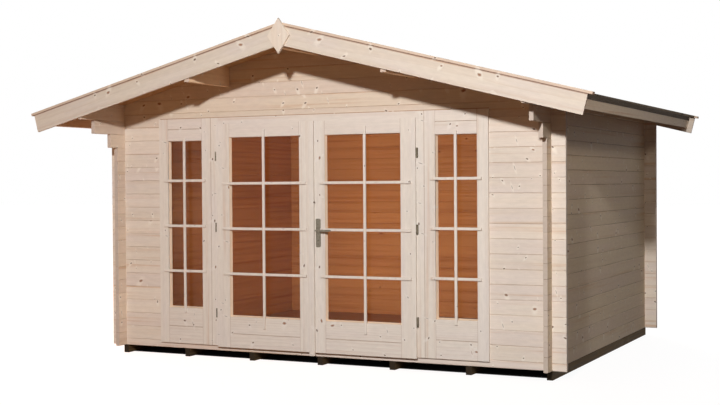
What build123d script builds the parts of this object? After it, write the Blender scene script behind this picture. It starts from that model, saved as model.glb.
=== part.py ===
from build123d import *
import os
from math import ceil, copysign, cos, radians, sin, tan

# Holiday cabin of stacked logs with crossed corners, a shallow gable roof and a glazed
# double door between two sidelights. Millimetres, +Z up, the front faces -Y, +X is on the
# right of someone who looks at the front. The origin is at the bottom centre of the box.

os.makedirs("parts", exist_ok=True)

# Logs and walls
log_height = 114.0  # visible height of one course
log_thickness = 34.0
log_chamfer = 3.5  # V joint between two courses
log_end = 108.0  # log ends past the crossed corners
wall_width = 3870.0  # over the outer faces of the side walls
wall_depth = 2984.0  # over the outer faces of the front and back walls
side_courses = 15  # plain side logs, below the corbel logs
door_courses = 16  # full logs beside the door unit
lap_share = 0.5  # part of its height that a log keeps where it crosses another
corbel_reach = 200.0  # third log from the top, in front of the front wall
bracket_reach = 415.0  # second log from the top, in front of the front wall
plate_height = 137.0  # top log, on its outer face, bevelled under the roof

# Floor
bearer_width = 45.0
bearer_height = 70.0
bearer_count = 7
bearer_recess = 8.0  # bearer ends behind the outer faces of the walls
floor_thickness = 18.0
floor_gap = 4.0  # floor boards to walls

# Roof
roof_pitch = 14.4  # degrees
roof_board_thickness = 19.0
eave_overhang = 394.0  # side wall to the outer top corner of the eave fascia, level
front_overhang = 610.0  # front wall to the face of the front bargeboards
log_end_gap = 2.0  # rear log ends to the rear bargeboards
felt_thickness = 3.0
felt_flap = 33.0  # felt turned down over the eave fascia
fascia_width = 104.0
fascia_thickness = 19.0
bargeboard_width = 145.0
bargeboard_thickness = 20.0
bargeboard_overrun = 50.0  # past the eave fascia, down the slope
cap_thickness = 20.0  # cover strips on the roof's front and rear edges
cap_width = 58.0
cap_overrun = 30.0  # cover strips past the lower ends of the bargeboards
purlin_width = 45.0
purlin_depth = 153.0  # on its centre line, up to the roof boards
purlin_offset = 853.0  # side purlins from the ridge
seat_gap = 0.3  # purlins in their gable notches
finial_width = 189.0
finial_height = 269.0
finial_thickness = 20.0
finial_drop = 81.0  # finial's centre below the ridge of the roof boards

# Door unit
unit_offset = -38.0  # its middle, from the middle of the front wall
opening_width = 2949.0  # cut through the front wall
head_notch = 49.0  # opening cut up into the gable's lowest log
frame_overlap = 15.0  # frame over the wall, at the sides and the top
sill_overlap = 13.0  # frame over the sill log
frame_proud = 20.0  # frame's face in front of the wall
frame_fit = 1.0  # frame to the opening
sidelight_width = 521.0
sidelight_stile = 89.5
sidelight_top_rail = 185.0
sidelight_bottom_rail = 301.0
post_width = 72.0
head_height = 60.0

# Door leaves
leaf_thickness = 40.0
leaf_proud = 18.0  # leaf's face in front of the frame
leaf_lip = 7.0  # leaf over the posts and the head
leaf_drop = 21.0  # leaf's lower edge below the top of the sill log
swing_gap = 5.0  # clear of the frame
meeting_gap = 6.5  # between the two leaves
meeting_offset = 25.0  # middle of that gap, from the middle of the unit
hinge_stile = 126.0
meeting_stile = 116.0  # glass to the middle of the unit
leaf_top_rail = 113.0
leaf_bottom_rail = 256.0
astragal_width = 48.0
astragal_proud = 18.0
astragal_drop = 26.0  # cover strip's end below the leaf's lower edge
astragal_round = 5.0

# Glazing
glass_thickness = 4.0
glass_fit = 0.3  # on each face of the pane and of the rail tongues
groove_depth = 10.0

# Rails made of two boards, with a V along their joint
joint_depth = 3.0
joint_angle = 45.0  # degrees
leaf_board_share = 0.45  # outer board's part of the leaf's bottom rail
light_low_board_share = 0.48  # of the sidelight's bottom rail
light_high_board_share = 0.47  # of the sidelight's top rail

# Hinges
hinge_radius = 8.0
hinge_length = 75.0
hinge_gap = 1.0  # barrel to the leaf's edge and to the post
hinge_tab = 5.0
hinge_bearing_gap = 0.3  # upper knuckle over the lower one
hinge_height_shares = (0.152, 0.537, 0.856)  # of the leaf's height

# Handle
handle_inset = 28.0  # from the leaf's meeting edge
handle_height_share = 0.5285  # of the leaf's height
plate_width = 42.0
plate_length = 228.0
plate_thickness = 5.0
plate_corner = 12.0
plate_drop = 20.0  # middle of the plate below the lever
lock_radius = 8.5
lock_proud = 3.0
lock_drop = 78.0  # below the lever
lever_radius = 7.5  # of the neck and of the arms' round ends
lever_length = 130.0  # neck's centre to the tip
lever_depth = 11.0
lever_standoff = 50.0  # lever's outer face from the leaf
lever_fit = 0.3
spindle_hole_radius = 13.0

overrun = 10.0  # past a face, on cuts

# Places worked out from the sizes above
slope = radians(roof_pitch)
half_width = wall_width / 2
wall_base = bearer_height
rear_overhang = log_end + log_end_gap + bargeboard_thickness
roof_length = front_overhang + wall_depth + rear_overhang
front_y = front_overhang + finial_thickness - (roof_length + finial_thickness) / 2
back_y = front_y + wall_depth
roof_front = front_y - front_overhang
roof_back = back_y + rear_overhang
boards_front = roof_front + bargeboard_thickness
boards_back = roof_back - bargeboard_thickness

corbel_base = wall_base + side_courses * log_height
bracket_base = corbel_base + log_height
plate_base = bracket_base + log_height
underside_apex = plate_base + plate_height + half_width * tan(slope)
board_apex = underside_apex + roof_board_thickness / cos(slope)
eave_run = (half_width + eave_overhang) / cos(slope)
bargeboard_run = eave_run + bargeboard_overrun

half_log = log_height / 2
opening_half = opening_width / 2
opening_bottom = wall_base + half_log
gable_base = opening_bottom + door_courses * log_height
opening_top = gable_base + head_notch
gable_courses = ceil((underside_apex - gable_base) / log_height)

unit_half = opening_half + frame_overlap
unit_bottom = opening_bottom - sill_overlap
unit_top = opening_top + frame_overlap
frame_front = front_y - frame_proud
frame_back = front_y + log_thickness
frame_glass = (front_y + frame_back) / 2
post_outer = unit_half - sidelight_width
post_inner = post_outer - post_width
head_bottom = unit_top - head_height

leaf_outer = post_inner + leaf_lip
meeting_x = unit_offset + meeting_offset
leaf_top = head_bottom + leaf_lip
leaf_bottom = opening_bottom - leaf_drop
leaf_height = leaf_top - leaf_bottom
leaf_front = frame_front - leaf_proud
leaf_step = frame_front - swing_gap
leaf_back = leaf_front + leaf_thickness
leaf_glass = (leaf_step + leaf_back) / 2
hinge_x = leaf_outer + hinge_gap + hinge_radius
hinge_y = frame_front - hinge_gap - hinge_radius
handle_x = meeting_x + meeting_gap / 2 + handle_inset
handle_z = leaf_bottom + handle_height_share * leaf_height

SIDES = (("left", -1), ("right", 1))


def save(piece, name):
    piece.label = name
    export_step(piece, f"parts/{name}.step")


def unit_x(side, reach):
    """A place on one side of the door unit's middle."""
    return unit_offset + side * reach


def roof_underside(x):
    return underside_apex - abs(x) * tan(slope)


def rect(u0, v0, u1, v1, mode=Mode.ADD):
    """A rectangle between two corners, in the sketch that is open."""
    with Locations(((u0 + u1) / 2, (v0 + v1) / 2)):
        Rectangle(abs(u1 - u0), abs(v1 - v0), mode=mode)


def block(x0, x1, y0, y1, z0, z1, mode=Mode.ADD):
    """A squared timber between two corners, in the part that is open."""
    with Locations(((x0 + x1) / 2, (y0 + y1) / 2, (z0 + z1) / 2)):
        Box(abs(x1 - x0), abs(y1 - y0), abs(z1 - z0), mode=mode)


def along_x(outline, x0, x1):
    """A timber of the (y, z) outline between two places along X."""
    with BuildPart() as timber:
        with BuildSketch(Plane.YZ.offset(x0)):
            with BuildLine():
                Polyline(*outline, close=True)
            make_face()
        extrude(amount=x1 - x0)
    return timber.part


def along_y(outline, y0, y1):
    """A timber of the (x, z) outline between two places along Y."""
    with BuildPart() as timber:
        with BuildSketch(Plane.XZ.offset(-y1)):
            with BuildLine():
                Polyline(*outline, close=True)
            make_face()
        extrude(amount=y1 - y0)
    return timber.part


def log_stack(joints, face):
    """Outline of logs stacked between the joint heights, with a V at each joint."""
    edge = [(face + log_chamfer, joints[0])]
    for low, high in zip(joints, joints[1:]):
        edge.append((face, low + log_chamfer))
        edge.append((face, high - log_chamfer))
        edge.append((face + log_chamfer, high))
    opposite = [(2 * face + log_thickness - u, z) for u, z in reversed(edge)]
    return edge + opposite


def courses(first, count):
    return [first + k * log_height for k in range(count + 1)]


def lap_heights(first, low, high):
    """Middles of the crossing logs, one course apart, that reach between two heights."""
    count = ceil((high - first) / log_height)
    heights = [first + k * log_height for k in range(count + 1)]
    return [z for z in heights if low - half_log < z < high + half_log]


def cut_front_laps(y_face, low, high, sides=(-1, 1)):
    """Notches in a front or back wall that take the side walls' logs."""
    middle = half_width - log_thickness / 2
    heights = lap_heights(opening_bottom, low, high)
    with Locations(*[(side * middle, y_face + log_thickness / 2, z) for side in sides for z in heights]):
        Box(log_thickness, log_thickness + 2 * overrun, lap_share * log_height, mode=Mode.SUBTRACT)


def cut_side_laps(side, low, high):
    """Notches in a side wall that take the front and back walls' logs."""
    middle = side * (half_width - log_thickness / 2)
    corners = (front_y + log_thickness / 2, back_y - log_thickness / 2)
    heights = lap_heights(wall_base, low, high)
    with Locations(*[(middle, y, z) for y in corners for z in heights]):
        Box(log_thickness + 2 * overrun, log_thickness, lap_share * log_height, mode=Mode.SUBTRACT)


# Floor: bearers from front to back, boards between the walls
bearer_pitch = (wall_width - bearer_width) / (bearer_count - 1)
with BuildPart() as floor_bearers:
    for k in range(bearer_count):
        middle = k * bearer_pitch - (wall_width - bearer_width) / 2
        block(middle - bearer_width / 2, middle + bearer_width / 2,
              front_y + bearer_recess, back_y - bearer_recess, 0, bearer_height)
save(floor_bearers.part, "floor_bearers")

floor_half = half_width - log_thickness - floor_gap
with BuildPart() as floor_boards:
    block(-floor_half, floor_half, front_y + log_thickness + floor_gap, back_y - log_thickness - floor_gap,
          wall_base, wall_base + floor_thickness)
save(floor_boards.part, "floor_boards")

# Front wall: sill log, wall on each side of the door unit, gable over it
front_end = half_width + log_end
with BuildPart() as front_sill_log:
    add(along_x(log_stack([wall_base, opening_bottom], front_y), -front_end, front_end))
    cut_front_laps(front_y, wall_base, opening_bottom)
save(front_sill_log.part, "front_sill_log")

for name, side in SIDES:
    ends = sorted((side * front_end, unit_x(side, opening_half)))
    with BuildPart() as front_wall:
        add(along_x(log_stack(courses(opening_bottom, door_courses), front_y), *ends))
        cut_front_laps(front_y, opening_bottom, gable_base, (side,))
    save(front_wall.part, f"front_wall_{name}")


def gable_outline(base):
    eave = roof_underside(front_end)
    return [(-front_end, base), (front_end, base), (front_end, eave), (0, underside_apex),
            (-front_end, eave)]


def cut_purlin_notches(y_face):
    for x in (-purlin_offset, 0, purlin_offset):
        reach = purlin_width / 2 + seat_gap
        block(x - reach, x + reach, y_face - overrun, y_face + log_thickness + overrun,
              roof_underside(x) - purlin_depth, underside_apex + overrun, mode=Mode.SUBTRACT)


def gable(joints, y_face):
    """Logs cut to the roof's underside, lapped at the corners and notched for the purlins."""
    with BuildPart() as wall:
        add(along_x(log_stack(joints, y_face), -front_end, front_end))
        add(along_y(gable_outline(joints[0]), y_face, y_face + log_thickness), mode=Mode.INTERSECT)
        cut_front_laps(y_face, joints[0], plate_base + plate_height)
        cut_purlin_notches(y_face)
    return wall.part


with BuildPart() as front_gable:
    add(gable(courses(gable_base, gable_courses), front_y))
    block(unit_x(-1, opening_half), unit_x(1, opening_half), front_y - overrun, frame_back + overrun,
          gable_base - overrun, opening_top, mode=Mode.SUBTRACT)
save(front_gable.part, "front_gable")

# Back wall, one stack up to the ridge
back_face = back_y - log_thickness
back_joints = [wall_base] + courses(opening_bottom, door_courses + gable_courses)
with BuildPart() as back_wall:
    add(gable(back_joints, back_face))
save(back_wall.part, "back_wall")

# Side walls, and the top logs that step forward under the roof
for name, side in SIDES:
    face = min(side * half_width, side * (half_width - log_thickness))
    stacks = (("wall", wall_base, side_courses, log_end),
              ("corbel_log", corbel_base, 1, corbel_reach),
              ("bracket_log", bracket_base, 1, bracket_reach))
    for piece, base, count, reach in stacks:
        top = base + count * log_height
        with BuildPart() as side_logs:
            add(along_y(log_stack(courses(base, count), face), front_y - reach, back_y + log_end))
            cut_side_laps(side, base, top)
        save(side_logs.part, f"{name}_{piece}")

    far = face + log_thickness
    plate_outline = [(face + log_chamfer, plate_base), (far - log_chamfer, plate_base),
                     (far, plate_base + log_chamfer), (far, roof_underside(far)),
                     (face, roof_underside(face)), (face, plate_base + log_chamfer)]
    with BuildPart() as wall_plate:
        add(along_y(plate_outline, boards_front, boards_back))
        cut_side_laps(side, plate_base, plate_base + plate_height)
    save(wall_plate.part, f"{name}_wall_plate")

# Purlins, bevelled under the roof boards
purlins = (("left_purlin", -purlin_offset), ("ridge_purlin", 0), ("right_purlin", purlin_offset))
for name, x in purlins:
    low_x = x - purlin_width / 2
    high_x = x + purlin_width / 2
    bottom = roof_underside(x) - purlin_depth
    top_line = [(high_x, roof_underside(high_x)), (low_x, roof_underside(low_x))]
    if low_x < 0 < high_x:
        top_line.insert(1, (0, underside_apex))
    with BuildPart() as purlin:
        add(along_y([(low_x, bottom), (high_x, bottom)] + top_line, boards_front, boards_back))
    save(purlin.part, name)


# Roof: strips of each slope, measured along it from the ridge and square to it from the boards' top
def slope_point(side, along, rise):
    x = along * cos(slope) + rise * sin(slope)
    z = board_apex - along * sin(slope) + rise * cos(slope)
    return side * x, z


def slope_strip(side, low, high, end):
    """Outline of a strip from the ridge, where it is cut upright, to its square lower end."""
    return [slope_point(side, -low * tan(slope), low), slope_point(side, end, low),
            slope_point(side, end, high), slope_point(side, -high * tan(slope), high)]


cap_base = felt_thickness
cap_top = cap_base + cap_thickness
for name, side in SIDES:
    with BuildPart() as roof_boards:
        boards = slope_strip(side, -roof_board_thickness, 0, eave_run - fascia_thickness)
        add(along_y(boards, boards_front, boards_back))
    save(roof_boards.part, f"{name}_roof_boards")

    with BuildPart() as eave_fascia:
        fascia = [slope_point(side, eave_run - fascia_thickness, 0), slope_point(side, eave_run, 0),
                  slope_point(side, eave_run, -fascia_width),
                  slope_point(side, eave_run - fascia_thickness, -fascia_width)]
        add(along_y(fascia, boards_front, boards_back))
    save(eave_fascia.part, f"{name}_eave_fascia")

    with BuildPart() as roof_felt:
        flap_end = eave_run + felt_thickness
        felt = [slope_point(side, 0, 0), slope_point(side, eave_run, 0),
                slope_point(side, eave_run, -felt_flap), slope_point(side, flap_end, -felt_flap),
                slope_point(side, flap_end, felt_thickness),
                slope_point(side, -felt_thickness * tan(slope), felt_thickness)]
        edge_felt = slope_strip(side, 0, felt_thickness, bargeboard_run)
        add(along_y(felt, boards_front, boards_back))
        add(along_y(edge_felt, roof_front, boards_front))
        add(along_y(edge_felt, boards_back, roof_back))
    save(roof_felt.part, f"{name}_roof_felt")

    with BuildPart() as bargeboards:
        board = slope_strip(side, -bargeboard_width, 0, bargeboard_run)
        add(along_y(board, roof_front, boards_front))
        add(along_y(board, boards_back, roof_back))
    save(bargeboards.part, f"{name}_bargeboards")

    with BuildPart() as bargeboard_caps:
        cap = slope_strip(side, cap_base, cap_top, bargeboard_run + cap_overrun)
        add(along_y(cap, roof_front, roof_front + cap_width))
        add(along_y(cap, roof_back - cap_width, roof_back))
    save(bargeboard_caps.part, f"{name}_bargeboard_caps")

finial_z = board_apex - finial_drop
with BuildPart() as front_finial:
    diamond = [(0, finial_z - finial_height / 2), (finial_width / 2, finial_z),
               (0, finial_z + finial_height / 2), (-finial_width / 2, finial_z)]
    add(along_y(diamond, roof_front - finial_thickness, roof_front))
save(front_finial.part, "front_finial")

# Door unit: posts and head
frame_top = opening_top - frame_fit
with BuildPart() as door_posts:
    for name, side in SIDES:
        inner_x = unit_x(side, post_inner)
        outer_x = unit_x(side, post_outer)
        block(inner_x, outer_x, frame_front, front_y, unit_bottom, unit_top)
        block(inner_x, outer_x, front_y, frame_back, opening_bottom, frame_top)
save(door_posts.part, "door_posts")

with BuildPart() as door_head:
    low_x = unit_x(-1, post_inner)
    high_x = unit_x(1, post_inner)
    block(low_x, high_x, frame_front, front_y, head_bottom, unit_top)
    block(low_x, high_x, front_y, frame_back, head_bottom, frame_top)
save(door_head.part, "door_head")

# Glazed panels: each stile and rail is a front layer, whose edges lip over the frame or the wall,
# and a back layer that stands inside the opening and holds the pane in a groove
groove_width = glass_thickness + 2 * glass_fit
tongue = groove_depth - glass_fit
joint_width = joint_depth / sin(radians(joint_angle))


def stile(glass_edge, front_edge, back_edge, front_z, back_z, faces, glass_y):
    """An upright from its glass edge to the outer edges of its two layers."""
    front_face, step, back_face = faces
    groove = glass_edge + copysign(groove_depth, back_edge - glass_edge)
    with BuildPart() as upright:
        block(glass_edge, front_edge, front_face, step, *front_z)
        block(glass_edge, back_edge, step, back_face, *back_z)
        block(glass_edge, groove, glass_y - groove_width / 2, glass_y + groove_width / 2, *back_z,
              mode=Mode.SUBTRACT)
    return upright.part


def rail(x0, x1, glass_edge, front_edge, back_edge, faces, glass_y, board_share=0):
    """A cross piece from its glass edge to its outer edges, with tongues in the stiles' grooves.

    A board share above zero makes it of two boards, the outer one with that part of its height.
    """
    front_face, step, back_face = faces
    groove = glass_edge + copysign(groove_depth, back_edge - glass_edge)
    with BuildPart() as cross:
        block(x0, x1, front_face, step, glass_edge, front_edge)
        block(x0, x1, step, back_face, glass_edge, back_edge)
        block(x0, x1, glass_y - groove_width / 2, glass_y + groove_width / 2, glass_edge, groove,
              mode=Mode.SUBTRACT)
        block(x0 - tongue, x1 + tongue, glass_y - glass_thickness / 2, glass_y + glass_thickness / 2,
              groove, back_edge)
        if board_share:
            joint = front_edge + board_share * (glass_edge - front_edge)
            with Locations(Location(((x0 + x1) / 2, front_face, joint), (joint_angle, 0, 0))):
                Box(x1 - x0, joint_width, joint_width, mode=Mode.SUBTRACT)
    return cross.part


def pane(x0, x1, z0, z1, glass_y):
    with BuildPart() as sheet:
        block(x0 - tongue, x1 + tongue, glass_y - glass_thickness / 2, glass_y + glass_thickness / 2,
              z0 - tongue, z1 + tongue)
    return sheet.part


# Sidelights, fixed on each side of the doors
light_faces = (frame_front, front_y, frame_back)
light_z = (unit_bottom, unit_top)
light_back_z = (opening_bottom, frame_top)
light_low = unit_bottom + sidelight_bottom_rail
light_high = unit_top - sidelight_top_rail
light_stiles = []
light_rails = []
light_panes = []
for name, side in SIDES:
    outer_edge = unit_x(side, unit_half - sidelight_stile)
    inner_edge = unit_x(side, post_outer + sidelight_stile)
    inner_side = unit_x(side, post_outer)
    low_x, high_x = sorted((inner_edge, outer_edge))
    light_stiles.append(stile(outer_edge, unit_x(side, unit_half), unit_x(side, opening_half - frame_fit),
                              light_z, light_back_z, light_faces, frame_glass))
    light_stiles.append(stile(inner_edge, inner_side, inner_side,
                              light_z, light_back_z, light_faces, frame_glass))
    light_rails.append(rail(low_x, high_x, light_low, unit_bottom, opening_bottom,
                            light_faces, frame_glass, light_low_board_share))
    light_rails.append(rail(low_x, high_x, light_high, unit_top, frame_top,
                            light_faces, frame_glass, light_high_board_share))
    light_panes.append(pane(low_x, high_x, light_low, light_high, frame_glass))

for name, pieces in (("sidelight_stiles", light_stiles), ("sidelight_rails", light_rails),
                     ("sidelight_glass", light_panes)):
    with BuildPart() as sidelights:
        add(pieces)
    save(sidelights.part, name)

# Door leaves, lipped over the posts and the head, opening outwards
leaf_faces = (leaf_front, leaf_step, leaf_back)
leaf_z = (leaf_bottom, leaf_top)
body_bottom = opening_bottom + swing_gap
body_top = head_bottom - swing_gap
pane_low = leaf_bottom + leaf_bottom_rail
pane_high = leaf_top - leaf_top_rail
for name, side in SIDES:
    outer_edge = unit_x(side, leaf_outer - hinge_stile)
    inner_edge = unit_x(side, meeting_stile)
    meeting_edge = meeting_x + side * meeting_gap / 2
    low_x, high_x = sorted((inner_edge, outer_edge))

    with BuildPart() as door_stiles:
        add(stile(outer_edge, unit_x(side, leaf_outer), unit_x(side, post_inner - swing_gap),
                  leaf_z, (body_bottom, body_top), leaf_faces, leaf_glass))
        add(stile(inner_edge, meeting_edge, meeting_edge,
                  leaf_z, (body_bottom, body_top), leaf_faces, leaf_glass))
        if side > 0:
            with BuildSketch(Plane.XZ.offset(-leaf_back - overrun)):
                with Locations((handle_x, handle_z)):
                    Circle(spindle_hole_radius)
            extrude(amount=leaf_thickness + 2 * overrun, mode=Mode.SUBTRACT)
    save(door_stiles.part, f"{name}_door_stiles")

    with BuildPart() as door_rails:
        add(rail(low_x, high_x, pane_low, leaf_bottom, body_bottom,
                 leaf_faces, leaf_glass, leaf_board_share))
        add(rail(low_x, high_x, pane_high, leaf_top, body_top, leaf_faces, leaf_glass))
    save(door_rails.part, f"{name}_door_rails")

    with BuildPart() as door_glass:
        add(pane(low_x, high_x, pane_low, pane_high, leaf_glass))
    save(door_glass.part, f"{name}_door_glass")

# Cover strip on the left leaf's meeting stile
with BuildPart() as door_astragal:
    strip_edge = meeting_x - meeting_gap / 2
    block(strip_edge - astragal_width, strip_edge, leaf_front - astragal_proud, leaf_front,
          leaf_bottom - astragal_drop, leaf_top)
    fillet(door_astragal.faces().sort_by(Axis.Y)[0].edges().filter_by(Axis.Z), radius=astragal_round)
save(door_astragal.part, "left_door_astragal")

# Lift-off hinges: lower knuckle on the post, upper knuckle on the leaf
hinge_heights = [leaf_bottom + share * leaf_height for share in hinge_height_shares]
knuckle = (hinge_length - hinge_bearing_gap) / 2
with BuildPart() as frame_hinges:
    for name, side in SIDES:
        x = unit_x(side, hinge_x)
        for z in hinge_heights:
            with BuildSketch(Plane.XY.offset(z - hinge_length / 2)):
                with Locations((x, hinge_y)):
                    Circle(hinge_radius)
                rect(x - hinge_tab / 2, hinge_y, x + hinge_tab / 2, frame_front)
            extrude(amount=knuckle)
save(frame_hinges.part, "frame_hinges")

for name, side in SIDES:
    x = unit_x(side, hinge_x)
    with BuildPart() as door_hinges:
        for z in hinge_heights:
            with BuildSketch(Plane.XY.offset(z + hinge_length / 2 - knuckle)):
                with Locations((x, hinge_y)):
                    Circle(hinge_radius)
                rect(x, hinge_y - hinge_tab / 2, unit_x(side, leaf_outer), hinge_y + hinge_tab / 2)
            extrude(amount=knuckle)
    save(door_hinges.part, f"{name}_door_hinges")

# Handle: a plate with a lock cylinder on each face of the right leaf, and one lever through both
plate_z = handle_z - plate_drop
with BuildPart() as handle_plates:
    for face, outwards in ((leaf_front, 1), (leaf_back, -1)):
        with BuildSketch(Plane.XZ.offset(-face)):
            with Locations((handle_x, plate_z)):
                RectangleRounded(plate_width, plate_length, plate_corner)
            with Locations((handle_x, handle_z)):
                Circle(lever_radius + lever_fit, mode=Mode.SUBTRACT)
        extrude(amount=outwards * plate_thickness)
        with BuildSketch(Plane.XZ.offset(-face)):
            with Locations((handle_x, handle_z - lock_drop)):
                Circle(lock_radius)
        extrude(amount=outwards * (plate_thickness + lock_proud))
save(handle_plates.part, "handle_plates")

# Lever: a round neck through both plates and the leaf, with a flat arm on each side
outside_y = leaf_front - lever_standoff
inside_y = leaf_back + lever_standoff
arm_reach = lever_length - lever_radius
with BuildPart() as lever_handle:
    with BuildSketch(Plane.XZ.offset(-inside_y)):
        with Locations((handle_x, handle_z)):
            Circle(lever_radius)
    extrude(amount=inside_y - outside_y)
    for back_face in (outside_y + lever_depth, inside_y):
        with BuildSketch(Plane.XZ.offset(-back_face)):
            with Locations((handle_x + arm_reach / 2, handle_z)):
                SlotCenterToCenter(arm_reach, 2 * lever_radius)
        extrude(amount=lever_depth)
save(lever_handle.part, "lever_handle")
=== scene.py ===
import math
from types import SimpleNamespace as Settings

import bmesh
import bpy
from mathutils import Matrix, Vector


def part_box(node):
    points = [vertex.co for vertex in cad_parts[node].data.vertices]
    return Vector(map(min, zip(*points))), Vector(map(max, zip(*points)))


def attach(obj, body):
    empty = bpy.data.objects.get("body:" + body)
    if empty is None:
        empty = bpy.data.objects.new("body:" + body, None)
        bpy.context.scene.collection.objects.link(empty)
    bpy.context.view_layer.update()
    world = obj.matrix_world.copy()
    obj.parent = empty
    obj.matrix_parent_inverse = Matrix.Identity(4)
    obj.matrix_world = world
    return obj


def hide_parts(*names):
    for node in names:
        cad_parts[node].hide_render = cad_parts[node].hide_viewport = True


# Holiday cabin of stacked spruce logs: finishes, glazing bars, boards and small fittings, in metres.

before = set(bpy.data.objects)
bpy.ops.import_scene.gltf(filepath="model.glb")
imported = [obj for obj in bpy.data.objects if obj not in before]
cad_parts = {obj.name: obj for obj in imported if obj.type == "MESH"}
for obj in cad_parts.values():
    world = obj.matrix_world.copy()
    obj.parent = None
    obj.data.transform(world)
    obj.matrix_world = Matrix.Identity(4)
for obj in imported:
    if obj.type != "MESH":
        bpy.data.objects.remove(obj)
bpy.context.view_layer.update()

# Places read from the frame
front_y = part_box("front_wall_left")[0][1]
front_back_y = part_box("front_wall_left")[1][1]
back_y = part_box("back_wall")[1][1]
wall_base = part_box("front_sill_log")[0][2]
log_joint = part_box("front_sill_log")[1][2]
half_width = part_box("right_wall")[1][0]
log_thickness = front_back_y - front_y
roof_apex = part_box("left_roof_boards")[1][2]
roof_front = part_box("left_roof_boards")[0][1]
roof_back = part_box("left_roof_boards")[1][1]
leaf_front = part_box("left_door_stiles")[0][1]
leaf_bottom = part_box("left_door_rails")[0][2]
frame_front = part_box("door_posts")[0][1]
post_low, post_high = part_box("door_posts")
unit_low, unit_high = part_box("sidelight_stiles")

# Sizes of the CAD timber that the frame's boxes don't give
LOG_HEIGHT = 0.114
ROOF_PITCH = math.radians(14.4)
ROOF_BOARD_THICKNESS = 0.019
GLASS_EDGE = 0.0097  # of each pane, hidden in its frame
LEAF_BOARD = 0.1152  # height of the lower board in a leaf's bottom rail
LIGHT_LOW_BOARD = 0.1445  # of the lower board in a sidelight's bottom rail
LIGHT_HIGH_BOARD = 0.0870  # of the upper board in a sidelight's top rail

SIDES = {"left": -1, "right": 1}
AXES = "XYZ"
SLOPE_COS = math.cos(ROOF_PITCH)
SLOPE_SIN = math.sin(ROOF_PITCH)


def linear(r, g, b):
    """Shader colour of a colour written in 0 to 255 screen values."""
    def one(v):
        v /= 255
        return v / 12.92 if v <= 0.04045 else ((v + 0.055) / 1.055) ** 2.4
    return one(r), one(g), one(b), 1.0


class Graph:
    """Adds nodes to a tree. Every argument is a socket or a plain value."""

    def __init__(self, tree):
        self.tree = tree

    def put(self, socket, value):
        if isinstance(value, bpy.types.NodeSocket):
            self.tree.links.new(value, socket)
        else:
            socket.default_value = value

    def node(self, kind, inputs=None, **settings):
        made = self.tree.nodes.new("ShaderNode" + kind)
        for name, value in settings.items():
            setattr(made, name, value)
        for key, value in (inputs or {}).items():
            self.put(made.inputs[key], value)
        return made

    def math(self, operation, a, b=0.0):
        return self.node("Math", {0: a, 1: b}, operation=operation).outputs[0]

    def add(self, a, b):
        return self.math("ADD", a, b)

    def sub(self, a, b):
        return self.math("SUBTRACT", a, b)

    def mul(self, a, b):
        return self.math("MULTIPLY", a, b)

    def div(self, a, b):
        return self.math("DIVIDE", a, b)

    def most(self, a, b):
        return self.math("MAXIMUM", a, b)

    def size(self, value):
        return self.math("ABSOLUTE", value)

    def hypotenuse(self, a, b):
        return self.math("SQRT", self.add(self.mul(a, a), self.mul(b, b)))

    def swing(self, value, reach):
        """A value from 0 to 1 as a swing about zero."""
        return self.mul(self.sub(value, 0.5), reach)

    def between(self, value, low, high):
        """1 where the value lies between two others, 0 elsewhere."""
        return self.mul(self.math("GREATER_THAN", value, low), self.math("LESS_THAN", value, high))

    def fit(self, value, low, high, to_low=0.0, to_high=1.0):
        """Smoothly carries a value from one range to another."""
        inputs = {"Value": value, "From Min": low, "From Max": high, "To Min": to_low, "To Max": to_high}
        return self.node("MapRange", inputs, interpolation_type="SMOOTHSTEP").outputs["Result"]

    def split(self, vector):
        return self.node("SeparateXYZ", {0: vector}).outputs

    def join(self, x, y, z=0.0):
        return self.node("CombineXYZ", {0: x, 1: y, 2: z}).outputs[0]

    def noise(self, vector, scale=1.0, detail=2.0, roughness=0.5):
        inputs = {"Vector": vector, "Scale": scale, "Detail": detail, "Roughness": roughness}
        return self.node("TexNoise", inputs).outputs["Fac"]

    def cells(self, vector, scale, dimensions):
        inputs = {"Vector": vector, "Scale": scale}
        return self.node("TexVoronoi", inputs, voronoi_dimensions=dimensions, feature="F1").outputs

    def mix(self, share, a, b, blend="MIX"):
        made = self.node("Mix", data_type="RGBA", blend_type=blend)
        self.put(made.inputs["Factor"], share)
        self.put(made.inputs["A"], a)
        self.put(made.inputs["B"], b)
        return made.outputs["Result"]

    def shade(self, colour, share):
        """A colour made lighter or darker by a grey share."""
        grey = self.node("CombineColor", {0: share, 1: share, 2: share}).outputs[0]
        return self.mix(1.0, colour, grey, "MULTIPLY")

    def seen(self):
        """1 for what the eye meets, straight or by way of gloss and glass, 0 for light that bounces."""
        path = self.node("LightPath").outputs
        share = self.most(path["Is Glossy Ray"], path["Is Transmission Ray"])
        return self.most(path["Is Camera Ray"], share)


class Look(Graph):
    """The nodes of one material, round its shader. Places are the object's own, in metres."""

    def __init__(self, name):
        self.material = bpy.data.materials.new(name)
        self.material.use_nodes = True
        super().__init__(self.material.node_tree)
        self.shader = self.tree.nodes["Principled BSDF"]
        texture = self.node("TexCoord").outputs
        self.place = texture["Object"]
        self.normal = texture["Normal"]

    def bump(self, height, strength, distance):
        made = self.node("Bump", {"Height": height, "Strength": strength, "Distance": distance})
        self.put(self.shader.inputs["Normal"], made.outputs["Normal"])

    def finish(self, **sockets):
        for name, value in sockets.items():
            self.put(self.shader.inputs[name.replace("_", " ")], value)
        return self.material


# Where a point lies along, across and into the grain, and how far its face is turned to an end cut
def straight(order):
    """Grain along the first of three axes, such as XZY; the face spreads along the second."""
    def places(g):
        xyz = g.split(g.place)
        along, across, into = [xyz[AXES.index(letter)] for letter in order]
        return along, across, into, g.size(g.split(g.normal)[AXES.index(order[0])])
    return places


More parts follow.
